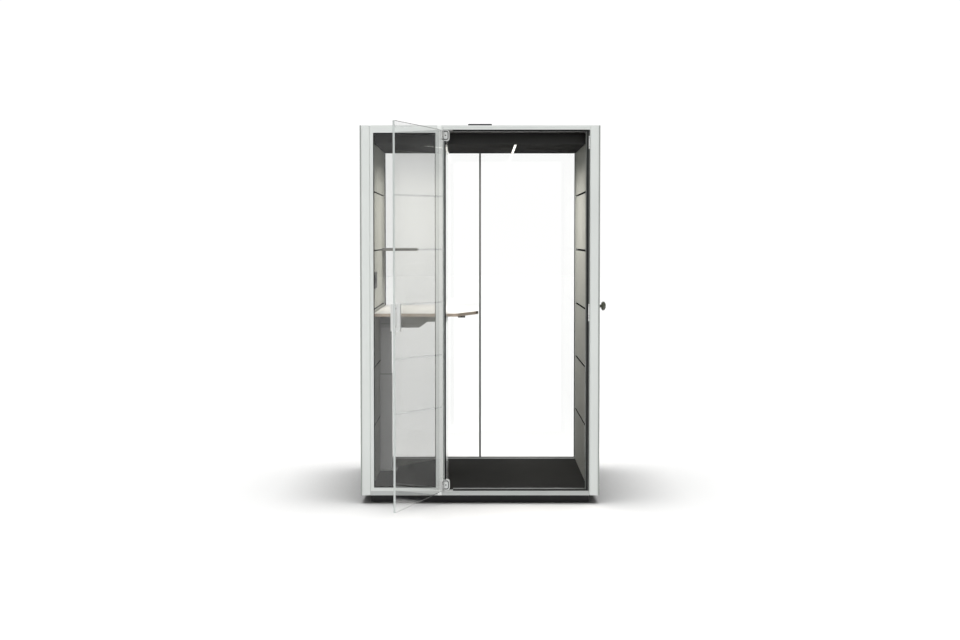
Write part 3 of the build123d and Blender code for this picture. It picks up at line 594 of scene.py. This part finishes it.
def add_turned(bm, centre, axis, rings, steps=24):
    """Adds a turned solid, closed at both ends. Each ring is (radius, height along the axis), or
    (radius, height, corners) for a ring with flats."""
    turn = Vector(axis).to_track_quat("Z", "Y")
    loops = []
    for radius, height, *corners in rings:
        loop = []
        for step in range(steps):
            angle = 2 * math.pi * step / steps
            reach = radius
            if corners:
                half = math.pi / corners[0]
                reach = radius * math.cos(half) / math.cos(angle % (2 * half) - half)
            spoke = Vector((reach * math.cos(angle), reach * math.sin(angle), height))
            loop.append(bm.verts.new(Vector(centre) + turn @ spoke))
        loops.append(loop)
    join(bm, loops)
    bm.faces.new(loops[0])
    bm.faces.new(loops[-1])


def add_ring(bm, centre, axis, section, steps=32):
    """Adds a ring whose section is a closed loop of (radius, height) points."""
    turn = Vector(axis).to_track_quat("Z", "Y")
    loops = []
    for step in range(steps):
        angle = 2 * math.pi * step / steps
        spoke = Vector((math.cos(angle), math.sin(angle), 0))
        points = [Vector(centre) + turn @ (spoke * radius + Z * height) for radius, height in section]
        loops.append([bm.verts.new(point) for point in points])
    join(bm, loops + loops[:1])


def pan_screw(radius, sunk=0.001):
    """Rings of a domed screw head with a hexagon socket."""
    return [
        (radius * 0.98, -sunk),
        (radius, 0.0),
        (radius * 0.96, radius * 0.20),
        (radius * 0.80, radius * 0.38),
        (radius * 0.58, radius * 0.46),
        (radius * 0.46, radius * 0.46, 6),
        (radius * 0.44, radius * 0.05, 6),
    ]


def cap_screw(radius, height):
    """Rings of a cylindrical screw head with a hexagon socket, rising from its seat."""
    return [
        (radius, 0.0),
        (radius, height * 0.86),
        (radius * 0.92, height),
        (radius * 0.58, height),
        (radius * 0.52, height * 0.95, 6),
        (radius * 0.50, height * 0.3, 6),
    ]


def hex_bolt(radius, height):
    """Rings of a hexagon head on its washer."""
    washer = height * 0.25
    return [
        (radius * 1.25, 0.0),
        (radius * 1.25, washer * 0.8),
        (radius * 1.18, washer),
        (radius * 0.98, washer, 6),
        (radius, washer * 1.2, 6),
        (radius, height * 0.88, 6),
        (radius * 0.86, height, 6),
    ]


def screws(name, slot, body, axis, rings, places, move=None):
    """One piece that holds the same screw at each place."""
    bm = bmesh.new()
    for place in places:
        add_turned(bm, place, axis, rings)
    if move is not None:
        bmesh.ops.transform(bm, matrix=move, verts=bm.verts)
    new_piece(name, bm, slot, body)


# Door


def door_turn():
    """The turn that brings a closed door to where it rests open."""
    joint = next(row for row in frame["joints"] if row["name"] == "door_hinge")
    pivot = Matrix.Translation(Vector(joint["pos_m"]))
    angle = math.radians(joint["range_deg"][0])
    return pivot @ Matrix.Rotation(-angle, 4, Vector(joint["axis"])) @ pivot.inverted()


opened = door_turn()
closed = opened.inverted()


def closed_box(node):
    """A door node's lowest and highest corners with the door shut."""
    points = [closed @ vert.co for vert in frame["nodes"][node].data.vertices]
    low = Vector([min(point[axis] for point in points) for axis in range(3)])
    high = Vector([max(point[axis] for point in points) for axis in range(3)])
    return low, high


def inset(outline, depth):
    """A square-cornered outline moved inwards, the inside on its left."""
    moved = []
    for before, here, after in zip(outline[-1:] + outline[:-1], outline, outline[1:] + outline[:1]):
        arriving = (here - before).normalized()
        leaving = (after - here).normalized()
        moved.append(here + depth * Vector((-arriving.y - leaving.y, arriving.x + leaving.x)))
    return moved


def leaf_outline():
    """The shut leaf as X and Z points, notched at both hinge corners."""
    low, high = closed_box("door_glass")
    notch_x = closed_box("hinge_blocks")[1].x
    notch_low, notch_high = low.z + HINGE_HEIGHT, high.z - HINGE_HEIGHT
    points = [
        (notch_x, low.z),
        (high.x, low.z),
        (high.x, high.z),
        (notch_x, high.z),
        (notch_x, notch_high),
        (low.x, notch_high),
        (low.x, notch_low),
        (notch_x, notch_low),
    ]
    return [Vector(point) for point in points]


def door_leaf():
    """The glass leaf with ground, polished edges. The upright edges are pale, partly painted light, and the top
    and bottom edges are near-black, painted shade.
    """
    low, high = closed_box("door_glass")
    full = leaf_outline()
    face = inset(full, LEAF_ARRIS)
    levels = [(face, low.y), (full, low.y + LEAF_ARRIS), (full, high.y - LEAF_ARRIS), (face, high.y)]
    bm = bmesh.new()
    loops = [[bm.verts.new((x, y, z)) for x, z in outline] for outline, y in levels]
    for front, back in zip(loops, loops[1:]):
        for step in range(len(full)):
            after = (step + 1) % len(full)
            edge = bm.faces.new((front[step], front[after], back[after], back[step]))
            # Upright edges take the pale rim (painted light). Top and bottom edges take the near-black rim
            # (painted shade).
            upright = abs(full[step].x - full[after].x) < LEAF_ARRIS
            edge.material_index = 1 if upright else 2
    bm.faces.new(loops[0])
    bm.faces.new(loops[-1])
    bmesh.ops.transform(bm, matrix=opened, verts=bm.verts)
    leaf = new_piece("door_leaf", bm, "glass", "door", "door_glass")
    leaf.data.materials[0] = leaf_glass
    leaf.data.materials.append(pale_rim_painted_light)
    leaf.data.materials.append(dark_rim_painted_shade)
    leaf.visible_shadow = False


def hinge_plate_screws():
    """Two screws on each clamp plate."""
    low, high = closed_box("hinge_plates")
    x = (low.x + high.x) / 2 + HINGE_SCREW_OFFSET
    heights = [low.z + HINGE_SCREW_INSET, low.z + HINGE_SCREW_INSET + HINGE_SCREW_PITCH]
    heights += [low.z + high.z - height for height in heights]
    rings = pan_screw(HINGE_SCREW_RADIUS)
    screws("hinge_screws_outer", "steel", "door", -Y, rings, [(x, low.y, z) for z in heights], opened)
    screws("hinge_screws_inner", "steel", "door", Y, rings, [(x, high.y, z) for z in heights], opened)


def pull_collars():
    """Collars where the pulls' bolts meet the glass, on both faces of the leaf."""
    pulls_low, pulls_high = closed_box("door_pulls")
    glass_low, glass_high = closed_box("door_glass")
    section = [(0.0036, 0.0), (0.0068, 0.0), (0.0062, 0.0009), (0.0038, 0.0009)]
    middle_x = pulls_high.x - PULL_FIN_THICKNESS / 2
    bm = bmesh.new()
    for height in (pulls_low.z + PULL_BOLT_INSET, pulls_high.z - PULL_BOLT_INSET):
        for face_y, away in ((glass_low.y, -Y), (glass_high.y, Y)):
            add_ring(bm, (middle_x, face_y, height), away, section)
    bmesh.ops.transform(bm, matrix=opened, verts=bm.verts)
    new_piece("pull_collars", bm, "steel", "door")


# Hinge side and catch


def frame_joint():
    """Dark joint line between the side light's frame and the mid post."""
    low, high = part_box("sidelight_frame")
    bm = bmesh.new()
    near = (high.x - JOINT_HALF_WIDTH, low.y + 0.0004, low.z + JOINT_INSET)
    far = (high.x + JOINT_HALF_WIDTH, low.y + 0.004, high.z - JOINT_INSET)
    add_box(bm, near, far, 0.0002)
    new_piece("frame_joint", bm, "rubber", "cabin")


def add_frame(bm, middle, half, bar, corner, back, front):
    """Adds a rounded rectangular frame that stands upright between two depths along Y."""
    outer = rounded_outline(middle, half, corner)
    inner = rounded_outline(middle, (half[0] - bar, half[1] - bar), corner - bar)
    levels = [(outer, back), (outer, front), (inner, front), (inner, back)]
    loops = [[bm.verts.new((x, y, z)) for x, z in outline] for outline, y in levels]
    join(bm, loops + loops[:1])


def rounded_outline(middle, half, corner):
    """Points of a rounded rectangle in X and Z."""
    points = []
    for turn, (side_x, side_z) in enumerate(((1, 1), (-1, 1), (-1, -1), (1, -1))):
        x = middle[0] + side_x * (half[0] - corner)
        z = middle[1] + side_z * (half[1] - corner)
        for step in range(CORNER_STEPS + 1):
            angle = math.pi / 2 * (turn + step / CORNER_STEPS)
            points.append((x + corner * math.cos(angle), z + corner * math.sin(angle)))
    return points


def bracket_details():
    """A near-black rubber ring laid in the pocket round the boss of each hinge bracket, as painted shade of the
    pocket, and the socket screw in the boss.
    """
    low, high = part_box("hinge_brackets")
    x = low.x + BOSS_OFFSET
    heights = (low.z + BRACKET_HEIGHT / 2, high.z - BRACKET_HEIGHT / 2)
    places = [(x, low.y + BOSS_DEPTH, z) for z in heights]
    rings = cap_screw(BOSS_SCREW_RADIUS, BOSS_SCREW_HEIGHT)
    screws("bracket_screws", "black_plastic", "cabin", -Y, rings, places)
    # Near-black rubber ring in the pocket, painted shade of the recess.
    bm = bmesh.new()
    for z in heights:
        back = low.y + POCKET_DEPTH
        half = (high.x - low.x) / 2 - POCKET_MARGIN, BRACKET_HEIGHT / 2 - POCKET_MARGIN
        middle = ((low.x + high.x) / 2, z)
        add_frame(bm, middle, half, POCKET_SHADE_RING, POCKET_CORNER, back, back - POCKET_SHADE_RING_PROUD)
    new_piece("bracket_shade_rings", bm, "rubber", "cabin")


def catch_screws():
    """Countersunk screws in both catch plates."""
    low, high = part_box("door_catch")
    x = (low.x + high.x) / 2
    places = []
    for start, end in CATCH_SPANS:
        for z in (start + CATCH_SCREW_INSET, end - CATCH_SCREW_INSET):
            places.append((x, low.y + CATCH_STEP, z))
    screws("catch_screws", "steel", "cabin", -Y, pan_screw(CATCH_SCREW_RADIUS, 0.0006), places)


# Roof


def spread(start, end, count):
    """Evenly spaced values from start to end."""
    return [start + (end - start) * step / (count - 1) for step in range(count)]


def roof_screws():
    """Pan screws round the edge of the roof cover."""
    low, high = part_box("roof_cover")
    x0, x1 = low.x + ROOF_SCREW_INSET, high.x - ROOF_SCREW_INSET
    y0, y1 = low.y + ROOF_SCREW_INSET, high.y - ROOF_SCREW_INSET
    places = [(x, y, high.z) for y in (y0, y1) for x in spread(x0, x1, 5)]
    places += [(x, y, high.z) for x in (x0, x1) for y in spread(y0, y1, 5)[1:-1]]
    screws("roof_screws", "steel", "cabin", Z, pan_screw(ROOF_SCREW_RADIUS), places)


def cowl_screws():
    """Screws in the cowl's flange, one in the middle of each side."""
    low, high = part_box("fan_cowl")
    centre = (low + high) / 2
    reach = (high.x - low.x) / 2 - COWL_SCREW_INSET
    seat = low.z + COWL_FLANGE
    places = [(centre.x + side * reach, centre.y, seat) for side in (-1, 1)]
    places += [(centre.x, centre.y + side * reach, seat) for side in (-1, 1)]
    screws("cowl_screws", "steel", "cabin", Z, pan_screw(COWL_SCREW_RADIUS), places)


def cowl_guard():
    """Wire basket between the ring and the lid that keeps insects out."""
    low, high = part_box("fan_cowl")
    centre = (low + high) / 2
    ring_top = low.z + COWL_RING_HEIGHT
    lid_under = high.z - COWL_LID
    bm = bmesh.new()
    for step in range(COWL_WIRES):
        angle = 2 * math.pi * step / COWL_WIRES
        x = centre.x + COWL_GUARD_RADIUS * math.cos(angle)
        y = centre.y + COWL_GUARD_RADIUS * math.sin(angle)
        wire = [(COWL_WIRE, -0.001), (COWL_WIRE, lid_under - ring_top + 0.001)]
        add_turned(bm, (x, y, ring_top), Z, wire, 8)
    section = []
    for corner in range(6):
        angle = 2 * math.pi * corner / 6
        section.append((COWL_GUARD_RADIUS + COWL_WIRE * math.cos(angle), COWL_WIRE * math.sin(angle)))
    for rise in COWL_HOOPS:
        add_ring(bm, (centre.x, centre.y, ring_top + rise), Z, section, 48)
    new_piece("cowl_guard", bm, "steel", "cabin")


def gland_cap():
    """Domed sealing nut and rubber insert on the cable gland."""
    low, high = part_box("cable_gland")
    centre = (low + high) / 2
    top = (centre.x, centre.y, high.z)
    dome = [
        (0.0054, -0.004),
        (0.0118, -0.0002),
        (0.0118, 0.002),
        (0.0106, 0.005),
        (0.0082, 0.0066),
        (0.0054, 0.0072),
    ]
    insert = [(0.0051, -0.002), (0.0054, -0.002), (0.0062, 0.0072), (0.0060, 0.0082), (0.0052, 0.0080)]
    bm = bmesh.new()
    add_ring(bm, top, Z, dome)
    new_piece("gland_dome", bm, "black_plastic", "cabin")
    bm = bmesh.new()
    add_ring(bm, top, Z, insert)
    new_piece("gland_insert", bm, "rubber", "cabin")


# Desk


def column_collar():
    """Plastic wiper that the inner stage slides through, on top of the outer stage."""
    stage_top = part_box("lift_column_outer")[1].z
    low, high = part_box("lift_column_inner")
    bottom = stage_top - 0.001
    top = stage_top + COLLAR_HEIGHT
    hole = COLLAR_GAP - COLLAR_WIDTH
    section = (
        (0.0, bottom),
        (0.0, top - COLLAR_CHAMFER),
        (-COLLAR_CHAMFER, top),
        (hole, top),
        (hole, bottom),
    )
    bm = bmesh.new()
    loops = []
    for growth, height in section:
        reach = COLLAR_WIDTH + growth
        x0, x1 = low.x - reach, high.x + reach
        y0, y1 = low.y - reach, high.y + reach
        corners = ((x0, y0), (x1, y0), (x1, y1), (x0, y1))
        loops.append([bm.verts.new((x, y, height)) for x, y in corners])
    join(bm, loops + loops[:1])
    new_piece("column_collar", bm, "black_plastic", "cabin")


def column_bolts():
    """Hexagon bolts that hold the column's plate to the floor."""
    low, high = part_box("lift_column_outer")
    inner_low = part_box("lift_column_inner")[0]
    xs = (inner_low.x + PLATE_BOLT_OFFSET, high.x - PLATE_BOLT_INSET)
    ys = (low.y + PLATE_BOLT_INSET, high.y - PLATE_BOLT_INSET)
    places = [(x, y, low.z + PLATE_THICKNESS) for x in xs for y in ys]
    screws("column_bolts", "steel", "cabin", Z, hex_bolt(PLATE_BOLT_RADIUS, PLATE_BOLT_HEIGHT), places)


def arm_shade_lines():
    """Black strips that run along both sides of the arm: painted shade along its dark lines."""
    low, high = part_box("desk_arm")
    shade_lines = ((high.z - ARM_UPPER_SHADE_LINE, high.x - 0.004), (high.z - ARM_LOWER_SHADE_LINE, ARM_SHADE_LINE_END))
    bm = bmesh.new()
    for y, side in ((low.y, -1), (high.y, 1)):
        for z, end in shade_lines:
            faces = sorted((y - side * 0.0005, y + side * 0.0006))
            add_box(bm, (low.x + 0.002, faces[0], z), (end, faces[1], z + ARM_SHADE_LINE_WIDTH), 0.0004)
    new_piece("arm_shade_lines", bm, "black_metal", "desk")


def handset_mark(node, body, way):
    """A raised arrow on a handset button, pointing up or down."""
    low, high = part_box(node)
    centre = (low + high) / 2
    corners = [(-0.0026, -0.0014), (0.0026, -0.0014), (0.0, 0.0024)]
    bm = bmesh.new()
    loops = []
    for size, depth in ((1.0, 0.0002), (0.8, -0.0004)):
        y = low.y + depth
        loops.append([bm.verts.new((centre.x + size * x, y, centre.z + way * size * z)) for x, z in corners])
    bm.faces.new(loops[0])
    bm.faces.new(loops[1])
    join(bm, loops)
    new_piece(node + "_arrow", bm, "white_laminate", body)


# Power module and lights


def module_details():
    """Bezel rings round the sockets and switches, and earth clips in the sockets."""
    low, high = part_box("module_case")
    z = (low.z + high.z) / 2
    socket = [(0.0215, -0.0005), (0.0252, -0.0005), (0.0246, 0.0010), (0.0232, 0.0014), (0.0218, 0.0008)]
    switch = [(0.0096, -0.0005), (0.0122, -0.0005), (0.0118, 0.0009), (0.0100, 0.0010)]
    bm = bmesh.new()
    for y in SOCKET_PLACES:
        add_ring(bm, (high.x, y, z), X, socket, 48)
    for node in ("light_switch", "fan_switch"):
        switch_low, switch_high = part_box(node)
        y = (switch_low.y + switch_high.y) / 2
        add_ring(bm, (high.x, y, z), X, switch, 40)
    new_piece("module_rings", bm, "dark_trim", "cabin")
    bm = bmesh.new()
    for y in SOCKET_PLACES:
        for side in (-1, 1):
            edge = z + side * SOCKET_CLIP_REACH
            bottom, top = sorted((edge, edge - side * 0.0016))
            add_box(bm, (high.x - 0.0118, y - 0.003, bottom), (high.x - 0.001, y + 0.003, top), 0.0005)
    new_piece("socket_clips", bm, "steel", "cabin")
    ys = (low.y + MODULE_SCREW_INSET, high.y - MODULE_SCREW_INSET)
    heights = (low.z + MODULE_SCREW_INSET, high.z - MODULE_SCREW_INSET)
    places = [(high.x, y, height) for y in ys for height in heights]
    screws("module_screws", "black_plastic", "cabin", X, pan_screw(MODULE_SCREW_RADIUS), places)


def light_end_caps():
    """White end caps of both light lines."""
    low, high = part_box("light_diffusers")
    bm = bmesh.new()
    for x in (low.x, high.x - LIGHT_LINE_WIDTH):
        for y in (low.y, high.y):
            near = (x - 0.0005, y - LIGHT_CAP_REACH, low.z - 0.0012)
            far = (x + LIGHT_LINE_WIDTH + 0.0005, y + LIGHT_CAP_REACH, low.z + 0.0015)
            add_box(bm, near, far, 0.0004)
    new_piece("light_end_caps", bm, "white_laminate", "cabin")


def foot_nuts():
    """Lock nuts on the levelling feet, up against the frame."""
    low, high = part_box("levelling_feet")
    reach_x = high.x - FOOT_RADIUS
    reach_y = high.y - FOOT_RADIUS
    places = [(x, y, FOOT_NUT_SEAT) for x in (-reach_x, reach_x) for y in (-reach_y, reach_y)]
    rings = [(0.0145, 0.0, 6), (0.0150, 0.0008, 6), (0.0150, 0.0052, 6), (0.0145, 0.006, 6)]
    screws("foot_nuts", "steel", "cabin", Z, rings, [*places, (0.0, 0.0, FOOT_NUT_SEAT)])


for pane in ("sidelight_glass", "rear_glass_left", "rear_glass_right"):
    frame["nodes"][pane].visible_shadow = False
door_leaf()
hinge_plate_screws()
pull_collars()
frame_joint()
bracket_details()
catch_screws()
roof_screws()
cowl_screws()
cowl_guard()
gland_cap()
column_collar()
column_bolts()
arm_shade_lines()
handset_mark("handset_button_up", "desk_up_button", 1)
handset_mark("handset_button_down", "desk_down_button", -1)
module_details()
light_end_caps()
foot_nuts()


# Studio


def make_floor():
    """Plain pale floor that throws less light back than it shows. Near the booth its colour is darkened by ambient
    occlusion, which is a painted contact shadow.
    """
    bm = bmesh.new()
    bmesh.ops.create_grid(bm, x_segments=8, y_segments=8, size=FLOOR_SIZE)
    mesh = bpy.data.meshes.new("studio_floor")
    bm.to_mesh(mesh)
    bm.free()
    floor = bpy.data.objects.new("studio_floor", mesh)
    bpy.context.scene.collection.objects.link(floor)
    finish = Finish("floor_paint", Specular_IOR_Level=0.0, Roughness=1.0)
    paint = finish.mottled((0.90, 0.90, 0.895), 0.004, finish.noise(0.5, 2.0))
    # Colour of the painted contact shadow, mixed in near the booth by ambient occlusion.
    corner = finish.mottled((0.16, 0.16, 0.16), 0.004, finish.noise(0.5, 2.0))
    shade = finish.mottled((FLOOR_BOUNCE, FLOOR_BOUNCE, FLOOR_BOUNCE), 0.004, finish.noise(0.5, 2.0))
    painted_shadow_occlusion = finish.node("ShaderNodeAmbientOcclusion", samples=4)
    painted_shadow_occlusion.inputs["Distance"].default_value = PAINTED_SHADOW_REACH
    bounced = finish.node("ShaderNodeLightPath").outputs["Is Diffuse Ray"]
    floor_with_painted_shadow = finish.mixed(painted_shadow_occlusion.outputs["AO"], corner, paint)
    finish.colour(finish.mixed(bounced, floor_with_painted_shadow, shade))
    mesh.materials.append(finish.material)


def make_world():
    """A white studio, dimmer on the side behind the camera."""
    world = bpy.data.worlds.new("studio")
    bpy.context.scene.world = world
    world.use_nodes = True
    nodes = world.node_tree.nodes
    links = world.node_tree.links
    background = nodes["Background"]
    background.inputs["Color"].default_value = (1.0, 1.0, 0.995, 1.0)
    place = nodes.new("ShaderNodeTexCoord")
    split = nodes.new("ShaderNodeSeparateXYZ")
    links.new(place.outputs["Generated"], split.inputs["Vector"])
    level = nodes.new("ShaderNodeMapRange")
    level.inputs["From Min"].default_value = -0.5
    level.inputs["From Max"].default_value = 0.5
    level.inputs["To Min"].default_value = WORLD_BEHIND_CAMERA
    level.inputs["To Max"].default_value = WORLD_BEHIND_BOOTH
    links.new(split.outputs["Y"], level.inputs["Value"])
    path = nodes.new("ShaderNodeLightPath")
    straight = nodes.new("ShaderNodeMath")
    straight.operation = "COMPARE"
    straight.inputs[1].default_value = 0.0
    links.new(path.outputs["Diffuse Depth"], straight.inputs[0])
    through = nodes.new("ShaderNodeMath")
    through.operation = "MULTIPLY"
    links.new(path.outputs["Is Transmission Ray"], through.inputs[0])
    links.new(straight.outputs["Value"], through.inputs[1])
    seen = nodes.new("ShaderNodeMath")
    seen.operation = "MAXIMUM"
    links.new(path.outputs["Is Camera Ray"], seen.inputs[0])
    links.new(through.outputs["Value"], seen.inputs[1])
    shown = nodes.new("ShaderNodeMix")
    links.new(seen.outputs["Value"], shown.inputs["Factor"])
    links.new(level.outputs["Result"], shown.inputs["A"])
    shown.inputs["B"].default_value = WORLD_SEEN
    links.new(shown.outputs["Result"], background.inputs["Strength"])


def make_sun(name, strength, softness, lean):
    """A soft distant light that leans from overhead towards the door side."""
    light = bpy.data.lights.new(name, "SUN")
    light.energy = strength
    light.angle = softness
    sun = bpy.data.objects.new(name, light)
    sun.rotation_euler = (lean, 0, 0)
    sun.visible_glossy = False
    sun.visible_transmission = False
    bpy.context.scene.collection.objects.link(sun)


def make_line_light(x):
    """The light that one lens of the ceiling throws down."""
    low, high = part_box("light_diffusers")
    light = bpy.data.lights.new("line_light", "AREA")
    light.shape = "RECTANGLE"
    light.size = LIGHT_LINE_WIDTH
    light.size_y = high.y - low.y
    light.energy = LINE_POWER
    light.color = LINE_COLOUR
    light.spread = LINE_SPREAD
    line = bpy.data.objects.new("line_light", light)
    line.location = (x, (low.y + high.y) / 2, low.z - LINE_DROP)
    line.visible_camera = False
    line.visible_glossy = False
    line.visible_transmission = False
    bpy.context.scene.collection.objects.link(line)


def make_camera():
    """Long lens square to the front, at about eye height."""
    lens = bpy.data.cameras.new("camera")
    lens.lens = CAMERA_LENS
    lens.sensor_width = CAMERA_SENSOR
    lens.clip_end = CAMERA_REACH
    camera = bpy.data.objects.new("camera", lens)
    camera.location = CAMERA_PLACE
    camera.rotation_euler = (math.radians(90) + CAMERA_TILT, 0, 0)
    bpy.context.scene.collection.objects.link(camera)
    bpy.context.scene.camera = camera


make_floor()
make_world()
make_sun("top_light", TOP_STRENGTH, TOP_SOFTNESS, TOP_LEAN)
make_sun("front_light", FRONT_STRENGTH, FRONT_SOFTNESS, FRONT_LEAN)
make_line_light(-LIGHT_LINE_X)
make_line_light(LIGHT_LINE_X)
make_camera()
bpy.context.scene.view_settings.view_transform = "Standard"
